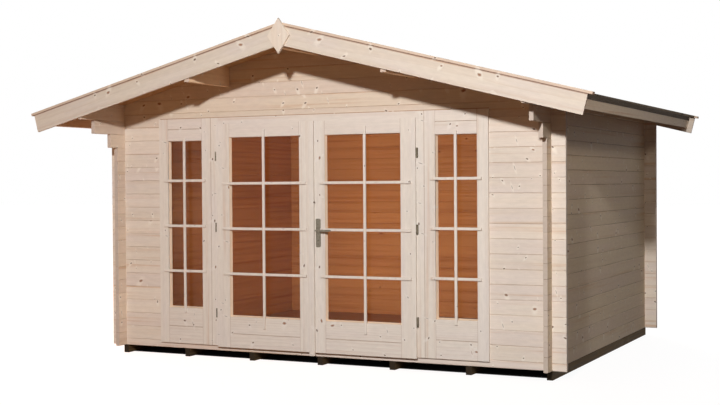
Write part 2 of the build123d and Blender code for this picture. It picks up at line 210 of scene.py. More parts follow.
def down_slope(wide):
    """Grain down the roof; wide boards lie flat in the slope, others stand on edge."""
    def places(g):
        x, y, z = g.split(g.place)
        normal = g.split(g.normal)
        run = g.size(x)
        drop = g.sub(roof_apex, z)
        along = g.add(g.mul(run, SLOPE_COS), g.mul(drop, SLOPE_SIN))
        below = g.sub(g.mul(drop, SLOPE_COS), g.mul(run, SLOPE_SIN))
        outward = g.mul(normal[0], g.math("SIGN", x))
        end = g.sub(g.mul(outward, SLOPE_COS), g.mul(normal[2], SLOPE_SIN))
        across, into = (y, below) if wide else (below, y)
        return along, across, into, g.size(end)
    return places


# Knots cut across the branch, at most one to a cell of the board's face
ROUND_KNOT = Settings(
    cells=7.0,  # per metre across the grain
    stretch=0.82,  # of that along the grain
    shift=53.0,  # of the cells from board to board
    clear=0.34,  # share of the cells with no knot
    radius=0.0034,  # of the smallest
    usual=0.0046,  # added up to the usual size
    big=0.0060,  # added to the few big ones
    big_from=0.84,  # share of the cells that have no big one
    slant=2.0,
    upright=0.65,  # where the slant changes its direction
    ragged=55.0,  # scale of the uneven rim
    rim_least=0.55,
    rim_spread=0.9,
    length=0.75,  # along the grain, in radii
    length_spread=0.6,
    halo=(1.1, 2.5),  # length and width of the pale surround, paler wood with a painted sheen, in radii
    halo_aside=5.0,
    core_fade=(1.4, 0.4),  # from clear wood to full colour, in radii
    halo_fade=(2.6, 0.6),
)

# Slim knots cut along the branch
SLIM_KNOT = Settings(
    cells=1.6,
    slimness=5.0,
    slant=0.3,
    shift=31.0,
    clear=0.45,
    reach=0.010,
    reach_spread=0.014,
    core_fade=(1.1, 0.5),
    core_share=0.6,
    halo_fade=(3.0, 0.8),
)
LEAST_KNOT = 0.0001  # keeps a knot of no size from a division by zero

# Figure that all the wood shares. A noise is (scale along the grain, scale across it, detail, roughness)
FIGURE = Settings(
    lone_board=3.0,
    island_spread=997.0,
    board_shift=37.0,  # along the grain, from board to board
    board_rise=0.03,
    wander=(1.1, 5.0, 2.0, 0.5),
    wander_reach=0.007,
    sway_scale=0.35,
    sway_reach=0.07,
    pith_depth=0.06,  # behind the face
    pith_depth_spread=0.05,
    pith_rise_spread=0.05,
    knot_bend=0.006,  # of the rings round a knot
    ring_power=2.2,
    fibre=(4.0, 210.0, 3.0, 0.6),
    streak=(0.55, 24.0, 3.0, 0.55),
    mottle=(13.0, 42.0, 3.0, 0.6),
    patch_along=1.6,
    patch_across=9.0,
    end_turn=(0.55, 0.8),
    ring_share=0.34,
    end_ring_share=0.35,
    streak_share=0.8,
    cream_range=(0.45, 0.85),
    cream_by_board=0.3,
    warm_range=(0.58, 0.76),
    warm_share=0.7,
    end_share=0.75,
    fibre_light=0.18,
    mottle_light=0.20,
    halo_share=0.55,
    big_knot_range=(0.0, 0.5),
    bump_ring=0.35,
    bump_strength=0.25,
    bump_height=0.0008,
    roughness=0.56,
    roughness_spread=0.25,
    specular=0.12,
)

# Dark lines along joints; a reach is the line's half width
SEAM_REACH = 0.0032  # at a log joint
SEAM_SCALE = 2.2  # of the stretches where that line is faint
SEAM_SHIFT = 7.3  # of those stretches from joint to joint
SEAM_RANGE = (0.3, 0.62)
SEAM_LEAST = 0.25
LIP_REACH = 0.009  # over the door unit
LIP_SHARE = 0.85
JOINT_REACH = 0.003  # in a leaf or a sidelight
JOINT_SHARE = 0.62
CAP_JOINT_REACH = 0.008  # between a bargeboard and its cap: the felt's edge and a painted shadow under the cap

# Painted warm light of the room, laid over the wood inside
PAINTED_ROOM_LIGHT = (216, 150, 94)
PAINTED_ROOM_LIGHT_DEEP = (202, 135, 82)
PAINTED_ROOM_LIGHT_DEEP_RANGE = (0.42, 0.66)
INSIDE_MARGIN = 0.006


def round_knots(g, u, v, chance, size):
    """Distance to the nearest core and to its pale surround, in radii, and how big the knot is."""
    at = g.join(g.mul(u, ROUND_KNOT.stretch), g.add(v, g.mul(chance, ROUND_KNOT.shift)))
    cells = g.cells(at, ROUND_KNOT.cells, "2D")
    k1, k2, k3 = g.split(cells["Color"])
    big = g.fit(k2, ROUND_KNOT.big_from, 1.0)
    radius = g.add(ROUND_KNOT.radius, g.mul(g.mul(k1, k1), ROUND_KNOT.usual))
    radius = g.add(radius, g.mul(big, ROUND_KNOT.big))
    radius = g.mul(radius, g.mul(g.math("GREATER_THAN", k3, ROUND_KNOT.clear), size))
    radius = g.most(radius, LEAST_KNOT)
    away = g.node("VectorMath", {0: at, 1: cells["Position"]}, operation="SUBTRACT").outputs[0]
    du, dv = g.split(away)[:2]
    du = g.add(du, g.mul(dv, g.mul(g.sub(k3, ROUND_KNOT.upright), ROUND_KNOT.slant)))
    ragged = g.noise(g.join(u, v, chance), ROUND_KNOT.ragged)
    rim = g.add(ROUND_KNOT.rim_least, g.mul(ragged, ROUND_KNOT.rim_spread))

    def ellipse(length, width, aside):
        across = g.div(g.add(dv, g.mul(radius, aside)), width)
        return g.mul(g.div(g.hypotenuse(g.div(du, length), across), radius), rim)

    near = ellipse(g.add(ROUND_KNOT.length, g.mul(k2, ROUND_KNOT.length_spread)), 1.0, 0.0)
    around = ellipse(*ROUND_KNOT.halo, g.swing(k1, ROUND_KNOT.halo_aside))
    return near, around, big


def slim_knots(g, u, v, chance, size):
    """Distance to the nearest slim knot, in its own reach."""
    along = g.mul(g.add(u, g.mul(v, SLIM_KNOT.slant)), SLIM_KNOT.slimness)
    cells = g.cells(g.join(along, g.add(v, g.mul(chance, SLIM_KNOT.shift))), SLIM_KNOT.cells, "2D")
    s1, s2 = g.split(cells["Color"])[:2]
    reach = g.add(SLIM_KNOT.reach, g.mul(s1, SLIM_KNOT.reach_spread))
    reach = g.mul(reach, g.mul(g.math("GREATER_THAN", s2, SLIM_KNOT.clear), size))
    return g.div(g.div(cells["Distance"], SLIM_KNOT.cells), g.most(reach, LEAST_KNOT))


def knots(g, u, v, r1, r2, size):
    """Shares of the knots' cores and of their pale surrounds, paler wood with a painted sheen, and how big
    the round ones are.
    """
    near, around, big = round_knots(g, u, v, r1, size)
    close = slim_knots(g, u, v, r2, size)
    slim_core = g.fit(close, *SLIM_KNOT.core_fade, 0.0, SLIM_KNOT.core_share)
    core = g.most(g.fit(near, *ROUND_KNOT.core_fade), slim_core)
    halo = g.most(g.fit(around, *ROUND_KNOT.halo_fade), g.fit(close, *SLIM_KNOT.halo_fade))
    return core, halo, big


def grain_noise(g, place, along, across, detail, roughness):
    """Noise drawn out along the grain."""
    u, v, into = place
    at = g.join(g.mul(u, along), g.mul(v, across), g.mul(into, across))
    return g.noise(at, detail=detail, roughness=roughness)


def rings(g, place, halo, chances, spacing):
    """Year rings about a pith behind the face, from 0 in early wood to 1 in late wood."""
    u, v, into = place
    r1, r2, r3 = chances
    wander = grain_noise(g, place, *FIGURE.wander)
    sway = g.noise(g.join(g.mul(u, FIGURE.sway_scale), r1, r2), detail=1.0)
    rise = g.add(v, g.swing(sway, FIGURE.sway_reach))
    rise = g.sub(rise, g.swing(r3, FIGURE.pith_rise_spread))
    depth = g.add(into, g.add(FIGURE.pith_depth, g.mul(r1, FIGURE.pith_depth_spread)))
    bend = g.add(g.mul(wander, FIGURE.wander_reach), g.mul(halo, FIGURE.knot_bend))
    span = g.add(g.hypotenuse(rise, depth), bend)
    return g.math("POWER", g.math("FRACT", g.div(span, spacing)), FIGURE.ring_power)


def planed_colour(g, look, place, chances, end_face, ring, fibre, streak):
    """Colour of clear wood: paler and warmer stretches, late wood, end grain and fine light and dark."""
    u, v, into = place
    r1, r3 = chances[0], chances[2]
    patch_at = g.join(g.mul(u, FIGURE.patch_along), g.mul(v, FIGURE.patch_across), g.add(into, r1))
    creamy = g.add(g.noise(patch_at), g.mul(r1, FIGURE.cream_by_board))
    grain = g.add(g.mul(ring, FIGURE.ring_share), g.mul(end_face, g.mul(ring, FIGURE.end_ring_share)))
    grain = g.add(grain, g.swing(streak, FIGURE.streak_share))
    grain = g.node("Clamp", {0: grain}).outputs[0]
    warm = g.fit(streak, *FIGURE.warm_range, 0.0, FIGURE.warm_share)
    colour = g.mix(g.fit(creamy, *FIGURE.cream_range), linear(*look["pink"]), linear(*look["cream"]))
    colour = g.mix(grain, colour, linear(*look["late"]))
    colour = g.mix(warm, colour, linear(*look["warm"]))
    colour = g.mix(g.mul(end_face, FIGURE.end_share), colour, linear(*look["end"]))
    light = g.add(1.0 - look["tone"] / 2, g.mul(r3, look["tone"]))
    light = g.add(light, g.swing(fibre, FIGURE.fibre_light))
    light = g.add(light, g.swing(grain_noise(g, place, *FIGURE.mottle), FIGURE.mottle_light))
    return g.shade(colour, light)


def log_seam(g, along, level, height, share):
    """Share of the dark line along each log joint, fainter in places."""
    from_middle = g.size(g.sub(g.math("FRACT", level), 0.5))
    seam = g.fit(from_middle, 0.5 - SEAM_REACH / height, 0.5, 0.0, share)
    uneven = g.noise(g.join(g.mul(along, SEAM_SCALE), g.mul(g.math("ROUND", level), SEAM_SHIFT)))
    return g.mul(seam, g.fit(uneven, *SEAM_RANGE, SEAM_LEAST, 1.0))


def joint_line(g, at, place, reach, share):
    """Share of a dark line at a place."""
    return g.fit(g.size(g.sub(at, place)), reach, reach / 2, 0.0, share)


def inside_share(g):
    """Mask of the painted room light: 1 on the faces that look into the room, 0 outside."""
    x, y = g.split(g.place)[:2]
    reach = half_width - log_thickness + INSIDE_MARGIN
    deep = g.between(y, front_back_y - INSIDE_MARGIN, back_y - log_thickness + INSIDE_MARGIN)
    return g.mul(g.between(x, -reach, reach), deep)


def wood(name, places, look, course=None, islands=False, face=0.0, inside=False, lip=None, joints=()):
    """Planed softwood with rings, fibres, warm streaks and knots.

    course is (lowest joint, height) where stacked logs share a mesh, islands gives each loose board a
    figure of its own, face is where the depth starts, and inside paints the room's warm light onto the
    faces in the room. lip is (height, left end, right end) of the edge over the door unit, and joints
    are the (axis, place, reach) of lines where two pieces meet.
    """
    g = Look(name)
    along, across, into, end = places(g)
    into = g.sub(into, face)
    xyz = g.split(g.place)
    row = FIGURE.lone_board
    v = across
    if course:
        level = g.div(g.sub(xyz[2], course[0]), course[1])
        row = g.math("FLOOR", level)
        v = g.sub(across, g.mul(row, course[1]))
    elif islands:
        row = g.mul(g.node("NewGeometry").outputs["Random Per Island"], FIGURE.island_spread)
    chances = g.split(g.node("TexWhiteNoise", {"W": row}, noise_dimensions="1D").outputs["Color"])
    r1, r2, r3 = chances
    u = g.add(along, g.mul(r2, FIGURE.board_shift))
    v = g.add(v, g.mul(r3, FIGURE.board_rise))
    place = (u, v, into)

    core, halo, big = knots(g, u, v, r1, r2, look["knots"])
    ring = rings(g, place, halo, chances, look["ring"])
    fibre = grain_noise(g, place, *FIGURE.fibre)
    streak = grain_noise(g, place, *FIGURE.streak)
    end_face = g.fit(end, *FIGURE.end_turn)
    flat = g.sub(1.0, end_face)
    colour = planed_colour(g, look, place, chances, end_face, ring, fibre, streak)

    dark = linear(*look["seam"])
    if course:
        colour = g.mix(log_seam(g, along, level, course[1], look["seam_share"]), colour, dark)
    if lip:
        height, left_end, right_end = lip
        edge = joint_line(g, xyz[2], height, LIP_REACH, LIP_SHARE)
        colour = g.mix(g.mul(edge, g.between(xyz[0], left_end, right_end)), colour, dark)
    for axis, spot, reach in joints:
        at = across if axis == "across" else xyz[AXES.index(axis)]
        colour = g.mix(joint_line(g, at, spot, reach, JOINT_SHARE), colour, dark)

    # Pale surround of the knots: paler wood with a painted sheen
    colour = g.mix(g.mul(g.mul(halo, FIGURE.halo_share), flat), colour, linear(*look["pale_sheen"]))
    knot_colour = g.mix(g.fit(big, *FIGURE.big_knot_range), linear(*look["speck"]), linear(*look["knot"]))
    colour = g.mix(g.mul(core, flat), colour, knot_colour)
    # Painted warm room light on the faces inside
    if inside:
        room_light_paint = g.mix(g.fit(streak, *PAINTED_ROOM_LIGHT_DEEP_RANGE), linear(*PAINTED_ROOM_LIGHT), linear(*PAINTED_ROOM_LIGHT_DEEP))
        colour = g.mix(inside_share(g), colour, g.mix(1.0, colour, room_light_paint, "MULTIPLY"))
    g.bump(g.add(g.mul(ring, FIGURE.bump_ring), fibre), FIGURE.bump_strength, FIGURE.bump_height)
    rough = g.add(FIGURE.roughness, g.swing(fibre, FIGURE.roughness_spread))
    return g.finish(Base_Color=colour, Roughness=rough, Specular_IOR_Level=FIGURE.specular)


NOISE_RANGE = (0.2, 0.8)  # where most of a noise lies

BEARER = Settings(
    dark=(56, 43, 27),
    brown=(96, 77, 51),
    bleached=(106, 90, 64),
    end=(30, 22, 12),
    across=60.0,  # scales of the streaks
    along=1.5,
    streak_range=(0.3, 0.72),
    patches=6.0,
    patch_range=(0.5, 0.8),
    patch_share=0.5,
    end_share=0.85,
    bump_strength=0.5,
    bump_height=0.002,
    roughness=(0.7, 0.9),
    specular=0.2,
)


def treated_timber():
    """Pressure-treated bearers, dark olive brown with darker streaks and bleached patches."""
    g = Look("treated_timber_look")
    x, y, z = g.split(g.place)
    streak_at = g.join(g.mul(x, BEARER.across), g.mul(y, BEARER.along), g.mul(z, BEARER.across))
    streak = g.noise(streak_at, detail=4.0, roughness=0.6)
    patch = g.noise(g.place, BEARER.patches, detail=3.0)
    bleached = g.fit(patch, *BEARER.patch_range, 0.0, BEARER.patch_share)
    end = g.fit(g.size(g.split(g.normal)[1]), *FIGURE.end_turn, 0.0, BEARER.end_share)
    colour = g.mix(g.fit(streak, *BEARER.streak_range), linear(*BEARER.dark), linear(*BEARER.brown))
    colour = g.mix(bleached, colour, linear(*BEARER.bleached))
    colour = g.mix(end, colour, linear(*BEARER.end))
    g.bump(streak, BEARER.bump_strength, BEARER.bump_height)
    rough = g.fit(streak, *NOISE_RANGE, *BEARER.roughness)
    return g.finish(Base_Color=colour, Roughness=rough, Specular_IOR_Level=BEARER.specular)


FELT = Settings(
    dark_grain=(40, 34, 28),
    pale_grain=(122, 108, 94),
    patch=(58, 51, 44),
    seam=(14, 13, 13),
    grains=420.0,  # per metre
    patches=1.6,
    patch_range=(0.35, 0.75),
    patch_share=0.45,
    sheet=0.42,  # half of the way between two laps
    first_lap=0.18,
    seam_reach=0.012,
    seam_share=0.7,
    bump_strength=0.6,
    bump_height=0.0015,
    roughness=(0.75, 0.95),
    specular=0.15,
)


def roof_felt():
    """Bitumen felt strewn with mineral grains, laid in sheets that lap down the slope."""
    g = Look("roof_felt_look")
    along = down_slope(True)(g)[0]
    grains = g.cells(g.place, FELT.grains, "3D")
    fleck = g.split(grains["Color"])[0]
    patch = g.fit(g.noise(g.place, FELT.patches, detail=4.0), *FELT.patch_range, 0.0, FELT.patch_share)
    lap = g.math("PINGPONG", g.add(along, FELT.first_lap), FELT.sheet)
    seam = g.fit(lap, FELT.seam_reach, 0.0)
    colour = g.mix(fleck, linear(*FELT.dark_grain), linear(*FELT.pale_grain))
    colour = g.mix(patch, colour, linear(*FELT.patch))
    colour = g.mix(g.mul(seam, FELT.seam_share), colour, linear(*FELT.seam))
    g.bump(g.sub(grains["Distance"], seam), FELT.bump_strength, FELT.bump_height)
    rough = g.fit(fleck, 0.0, 1.0, *FELT.roughness)
    return g.finish(Base_Color=colour, Roughness=rough, Specular_IOR_Level=FELT.specular)


GLASS = Settings(
    clear=(250, 252, 250),
    green=(243, 249, 245),
    smears=3.0,
    smear_range=(0.55, 0.8),
    roughness=(0.0, 0.03),
    bending=1.2,  # low, so that the panes mirror little of the white backdrop
)


def clear_glass():
    """Float glass, a little green, with faint wipe marks."""
    g = Look("clear_glass_look")
    smear = g.noise(g.place, GLASS.smears, detail=4.0, roughness=0.6)
    colour = g.mix(smear, linear(*GLASS.clear), linear(*GLASS.green))
    rough = g.fit(smear, *GLASS.smear_range, *GLASS.roughness)
    return g.finish(Base_Color=colour, Roughness=rough, IOR=GLASS.bending, Transmission_Weight=1.0)


METAL = Settings(
    brush_across=900.0,
    brush_along=30.0,
    stains=70.0,
    stain_range=(0.4, 0.72),
    roughness_spread=0.1,
    metallic=0.85,
    bump_strength=0.12,
    bump_height=0.0003,
)


def metal(name, light, dark, roughness):
    """Dull metal with fine brushing and small stains."""
    g = Look(name)
    x, y, z = g.split(g.place)
    across, along = METAL.brush_across, METAL.brush_along
    brush = g.noise(g.join(g.mul(x, across), g.mul(y, across), g.mul(z, along)))
    stain = g.fit(g.noise(g.place, METAL.stains, detail=4.0, roughness=0.6), *METAL.stain_range)
    colour = g.mix(stain, linear(*light), linear(*dark))
    spread = METAL.roughness_spread
    rough = g.fit(brush, *NOISE_RANGE, roughness - spread, roughness + spread)
    g.bump(brush, METAL.bump_strength, METAL.bump_height)
    return g.finish(Base_Color=colour, Metallic=METAL.metallic, Roughness=rough)


# Colours of the wood in screen values; ring is the ring spacing, tone the spread between boards;
# pale_sheen, round the knots, is paler wood with a painted sheen
SPRUCE = dict(pink=(224, 211, 201), cream=(227, 215, 201), late=(200, 175, 152), warm=(206, 170, 138),
              pale_sheen=(242, 234, 222), speck=(112, 88, 72), knot=(156, 118, 94), end=(190, 176, 166),
              ring=0.0046, tone=0.08, knots=1.0, seam=(162, 122, 88), seam_share=0.55)
GABLE_LOGS = dict(SPRUCE, pink=(218, 202, 187), cream=(221, 206, 187), late=(195, 167, 142),
                  warm=(201, 163, 129))
LEFT_LOGS = dict(SPRUCE, pink=(225, 206, 189), cream=(228, 210, 190), late=(203, 175, 148))
# Right wall: darker, warmer wood and darker, stronger seams, painted shade of that side
RIGHT_LOGS_PAINTED_SHADE = dict(SPRUCE, pink=(218, 199, 180), cream=(220, 203, 178), late=(194, 166, 136),
                  warm=(206, 170, 134), seam=(112, 84, 60), seam_share=0.8)
JOINERY = dict(SPRUCE, pink=(224, 215, 208), cream=(226, 217, 206), late=(203, 184, 169),
               warm=(211, 188, 169), pale_sheen=(234, 227, 219), seam=(150, 112, 84), tone=0.03)
RAIL = dict(JOINERY, pink=(222, 211, 203), cream=(224, 214, 203), late=(203, 185, 172))
# Beads: joinery wood made warmer and paler, painted warm light on the splayed beads
BEAD_PAINTED_LIGHT = dict(JOINERY, pink=(236, 207, 182), cream=(238, 211, 184), late=(222, 188, 158),
            warm=(226, 188, 152), knots=0.5)
TRIM = dict(SPRUCE, pink=(221, 207, 195), cream=(223, 209, 193), late=(207, 186, 166), tone=0.05, knots=0.8)
# Bargeboard ends: end grain darkened further, painted shade on the ends
BARGE = dict(TRIM, pink=(211, 198, 188), cream=(213, 200, 185), late=(197, 175, 154), pale_sheen=(236, 227, 214),
             seam=(140, 92, 64), end=(140, 104, 76), knots=1.2)
CAP = dict(BARGE, pink=(208, 188, 172), cream=(211, 190, 170), late=(190, 160, 136), knots=1.0)
# Fascias: trim wood made lighter, painted light on these faces in grazing light
FASCIA_PAINTED_LIGHT = dict(TRIM, pink=(236, 222, 208), cream=(238, 224, 206), late=(222, 200, 178))
# Purlins: log wood made lighter and warmer, painted bounce light under the roof
PURLIN_PAINTED_LIGHT = dict(SPRUCE, pink=(240, 206, 174), cream=(243, 213, 176), late=(216, 172, 134))
# Roof boards, seen only from below: log wood made darker and orange, painted warm shade under the roof
SOFFIT_PAINTED_SHADE = dict(SPRUCE, pink=(206, 166, 126), cream=(212, 174, 128), late=(178, 130, 88), warm=(190, 134, 84),
              pale_sheen=(218, 184, 142), tone=0.14)
# Floor inside: darker and warmer than the logs, painted shade and warm room light on the floor boards
FLOOR = dict(SPRUCE, pink=(156, 98, 58), cream=(164, 106, 62), late=(122, 70, 38), warm=(140, 82, 44),
             pale_sheen=(172, 116, 74), tone=0.16)


def pane_of(node):
    """Left, right, lower and upper edge of the glass that shows."""
    low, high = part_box(node)
    return low[0] + GLASS_EDGE, high[0] - GLASS_EDGE, low[2] + GLASS_EDGE, high[2] - GLASS_EDGE


leaf_panes = {side: pane_of(f"{side}_door_glass") for side in SIDES}
light_left, light_right, light_low, light_high = pane_of("sidelight_glass")
light_stile = light_left - unit_low[0]
light_panes = [(light_left, post_low[0] - light_stile, light_low, light_high),
               (post_high[0] + light_stile, light_right, light_low, light_high)]

leaf_joints = [("X", x, JOINT_REACH) for pane in leaf_panes.values() for x in pane[:2]]
leaf_joints += [("Z", leaf_bottom + LEAF_BOARD, JOINT_REACH)]
light_joints = [("X", x, JOINT_REACH) for pane in light_panes for x in pane[:2]]
light_joints += [("Z", unit_low[2] + LIGHT_LOW_BOARD, JOINT_REACH)]
light_joints += [("Z", unit_high[2] - LIGHT_HIGH_BOARD, JOINT_REACH)]
post_joints = [("X", x, JOINT_REACH) for x in (post_low[0], post_high[0])]
cap_joint = [("across", 0.0, CAP_JOINT_REACH)]
unit_lip = (unit_high[2], unit_low[0], unit_high[0])
front_course = (log_joint, LOG_HEIGHT)
side_course = (wall_base, LOG_HEIGHT)

front_logs = wood("front_log_look", straight("XZY"), SPRUCE, front_course, face=front_y, inside=True)
gable_logs = wood("gable_log_look", straight("XZY"), GABLE_LOGS, front_course, face=front_y, inside=True,
                  lip=unit_lip)
back_logs = wood("back_log_look", straight("XZY"), SPRUCE, front_course, face=back_y, inside=True)
left_logs = wood("left_log_look", straight("YZX"), LEFT_LOGS, side_course, face=-half_width, inside=True)
right_logs = wood("right_log_painted_shade_look", straight("YZX"), RIGHT_LOGS_PAINTED_SHADE, side_course, face=half_width, inside=True)
purlin_wood = wood("purlin_painted_light_look", straight("YZX"), PURLIN_PAINTED_LIGHT, inside=True)
roof_board_wood = wood("roof_board_painted_shade_look", down_slope(True), SOFFIT_PAINTED_SHADE, islands=True)
barge_wood = wood("bargeboard_look", down_slope(False), BARGE, joints=cap_joint)
cap_wood = wood("bargeboard_cap_look", down_slope(False), CAP, joints=cap_joint)
fascia_wood = wood("fascia_painted_light_look", straight("YZX"), FASCIA_PAINTED_LIGHT)
finial_wood = wood("finial_look", straight("ZXY"), TRIM)
upright_wood = wood("joinery_upright_look", straight("ZXY"), JOINERY, joints=post_joints)
level_wood = wood("joinery_level_look", straight("XZY"), RAIL)
leaf_rail_wood = wood("leaf_rail_look", straight("XZY"), RAIL, joints=leaf_joints)
light_rail_wood = wood("light_rail_look", straight("XZY"), RAIL, joints=light_joints)
bead_upright = wood("bead_upright_painted_light_look", straight("ZXY"), BEAD_PAINTED_LIGHT)
bead_level = wood("bead_level_painted_light_look", straight("XZY"), BEAD_PAINTED_LIGHT)
floor_wood = wood("floor_board_painted_shade_look", straight("XYZ"), FLOOR, islands=True)
bearer_wood = treated_timber()
felt = roof_felt()
glass = clear_glass()
hinge_metal = metal("hinge_steel_look", light=(110, 101, 85), dark=(76, 68, 55), roughness=0.55)
keyhole_painted_shade = metal("keyhole_painted_shade_look", light=(34, 30, 26), dark=(20, 17, 14), roughness=0.6)
handle_metal = metal("handle_metal_look", light=(128, 121, 108), dark=(94, 88, 76), roughness=0.38)

node_looks = {
    "floor_bearers": bearer_wood, "floor_boards": floor_wood,
    "front_sill_log": front_logs, "front_wall_left": front_logs, "front_wall_right": front_logs,
    "front_gable": gable_logs, "back_wall": back_logs,
    "ridge_purlin": purlin_wood, "front_finial": finial_wood,
    "door_posts": upright_wood, "door_head": level_wood,
    "sidelight_stiles": upright_wood, "sidelight_rails": light_rail_wood, "sidelight_glass": glass,
    "left_door_astragal": upright_wood, "frame_hinges": hinge_metal,
    "handle_plates": handle_metal, "lever_handle": handle_metal,
}
for side, logs in (("left", left_logs), ("right", right_logs)):
    for log in ("wall", "corbel_log", "bracket_log", "wall_plate"):
        node_looks[f"{side}_{log}"] = logs
    node_looks[f"{side}_purlin"] = purlin_wood
    node_looks[f"{side}_roof_boards"] = roof_board_wood
    node_looks[f"{side}_eave_fascia"] = fascia_wood
    node_looks[f"{side}_roof_felt"] = felt
    node_looks[f"{side}_bargeboards"] = barge_wood
    node_looks[f"{side}_bargeboard_caps"] = cap_wood
    node_looks[f"{side}_door_stiles"] = upright_wood
    node_looks[f"{side}_door_rails"] = leaf_rail_wood
    node_looks[f"{side}_door_glass"] = glass
    node_looks[f"{side}_door_hinges"] = hinge_metal
for name, look in node_looks.items():
    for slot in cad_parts[name].material_slots:
        slot.material = look


def piece(name, bm, body, slot, *looks):
    """Turns a finished mesh into a piece that rides on a body."""
    bmesh.ops.recalc_face_normals(bm, faces=bm.faces)
    mesh = bpy.data.meshes.new(name)
    bm.to_mesh(mesh)
    bm.free()
    made = bpy.data.objects.new(name, mesh)
    bpy.context.collection.objects.link(made)
    for look in looks:
        mesh.materials.append(look)
    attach(made, body)
    return made


def prism(bm, outline, y0, y1):
    """A closed prism of an (x, z) outline between two places along Y; returns its faces."""
    near = [bm.verts.new((x, y0, z)) for x, z in outline]
    far = [bm.verts.new((x, y1, z)) for x, z in outline]
    faces = [bm.faces.new(near), bm.faces.new(list(reversed(far)))]
    for k in range(len(outline)):
        n = (k + 1) % len(outline)
        faces.append(bm.faces.new((near[n], near[k], far[k], far[n])))
    return faces


ARRIS_STEPS = 2
ROUND_ARRIS = 0.5  # bevel profile of a quarter round


def chamfered(bm, low, high, cut, look=0):
    """A squared timber between two corners with its arrises taken off."""
    made = bmesh.ops.create_cube(bm, size=1.0)["verts"]
    size = Vector(high) - Vector(low)
    middle = (Vector(high) + Vector(low)) / 2
    for v in made:
        v.co = Vector((v.co.x * size.x, v.co.y * size.y, v.co.z * size.z)) + middle
    edges = list({e for v in made for e in v.link_edges})
    faces = {f for v in made for f in v.link_faces}
    result = bmesh.ops.bevel(bm, geom=edges, offset=cut, segments=ARRIS_STEPS, affect="EDGES",
                             profile=ROUND_ARRIS)
    for f in set(result["faces"]) | {f for f in faces if f.is_valid}:
        f.material_index = look


# Glazing bars, laid over the frames outside the glass
UPRIGHT = 0  # material slots of bars and beads
LEVEL = 1
BAR_WIDTH = 0.022
BAR_DEPTH = 0.014
BAR_ROUND = 0.0028
BAR_FIT = 0.0002  # level bars to the upright one
LEAF_BARS = Settings(heights=(0.650, 1.023, 1.397),  # over the foot of the walls
                     over_side=0.064, over_top=0.060, over_bottom=0.088)  # past the pane's edges
LIGHT_BARS = Settings(heights=(0.660, 1.041, 1.423),
                      over_side=0.038, over_top=0.025, over_bottom=0.037)
LEAF_BARS_ASIDE = {"left": 0.002, "right": 0.026}  # to the right of the pane's middle


def bars(name, body, panes, face, sizes, aside=0.0):
    """An upright bar and three level ones before each pane."""
    bm = bmesh.new()
    half = BAR_WIDTH / 2
    front = face - BAR_DEPTH
    for left, right, bottom, top in panes:
        middle = (left + right) / 2 + aside
        chamfered(bm, (middle - half, front, bottom - sizes.over_bottom),
                  (middle + half, face, top + sizes.over_top), BAR_ROUND, UPRIGHT)
        spans = ((left + aside - sizes.over_side, middle - half - BAR_FIT),
                 (middle + half + BAR_FIT, right + aside + sizes.over_side))
        for height in sizes.heights:
            z = wall_base + height
            for start, stop in spans:
                chamfered(bm, (start, front, z - half), (stop, face, z + half), BAR_ROUND, LEVEL)
    piece(name, bm, body, "joinery_wood", upright_wood, level_wood)


for side, aside in LEAF_BARS_ASIDE.items():
    bars(f"{side}_door_bars", f"{side}_door", [leaf_panes[side]], leaf_front, LEAF_BARS, aside)
bars("sidelight_bars", "cabin", light_panes, frame_front, LIGHT_BARS)


# Splayed beads that hold each pane in its frame
BEAD_WIDTH = 0.012
BEAD_DEPTH = 0.022
BEAD_TOP = 0.004  # width of the upper bead
BEAD_INSET = 0.001  # behind the frame's face
BEAD_FIT = 0.0002


def beads(name, body, panes, face, glass_face):
    """A ring of wedge section round each pane."""
    bm = bmesh.new()
    front = max(face + BEAD_INSET, glass_face - BEAD_DEPTH)
    back = glass_face - BEAD_FIT
    section = ((BEAD_FIT, BEAD_FIT, front), (BEAD_FIT, BEAD_FIT, back), (BEAD_WIDTH, BEAD_TOP, back))
    for left, right, bottom, top in panes:
        loops = []
        for inset, drop, y in section:
            corners = ((left + inset, bottom + inset), (right - inset, bottom + inset),
                       (right - inset, top - drop), (left + inset, top - drop))
            loops.append([bm.verts.new((x, y, z)) for x, z in corners])
        for here, there in zip(loops, loops[1:] + loops[:1]):
            for c, look in enumerate((LEVEL, UPRIGHT, LEVEL, UPRIGHT)):
                n = (c + 1) % len(here)
                made = bm.faces.new((here[c], here[n], there[n], there[c]))
                made.material_index = look
    piece(name, bm, body, "joinery_wood", bead_upright, bead_level)


for side in SIDES:
    glass_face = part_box(f"{side}_door_glass")[0][1]
    beads(f"{side}_door_beads", f"{side}_door", [leaf_panes[side]], leaf_front, glass_face)
beads("sidelight_beads", "cabin", light_panes, frame_front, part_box("sidelight_glass")[0][1])


# Rebate strip on the right leaf's meeting edge, which closes most of the gap beside the cover strip
REBATE_CLEAR = 0.0012
REBATE_SET_BACK = 0.001
REBATE_DEPTH = 0.018
REBATE_ROUND = 0.0008


def rebate():
    bm = bmesh.new()
    strip_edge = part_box("left_door_astragal")[1][0]
    leaf_low, leaf_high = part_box("right_door_stiles")
    front = leaf_front + REBATE_SET_BACK
    chamfered(bm, (strip_edge + REBATE_CLEAR, front, leaf_low[2]),
              (leaf_low[0], front + REBATE_DEPTH, leaf_high[2]), REBATE_ROUND)
    piece("right_door_rebate", bm, "right_door", "joinery_wood", upright_wood)


rebate()


# Keyhole in the lock on the handle plate: a near-black sheet, painted shade where the hole is
KEYHOLE_RADIUS = 0.0026
KEYHOLE_SLOT = 0.0012  # half of the slot's width
KEYHOLE_LENGTH = 0.0075
KEYHOLE_PROUD = 0.0004
KEYHOLE_STEPS = 9  # points on the round part
LOCK_HEIGHT = 0.056  # of the lock over the plate's lower end


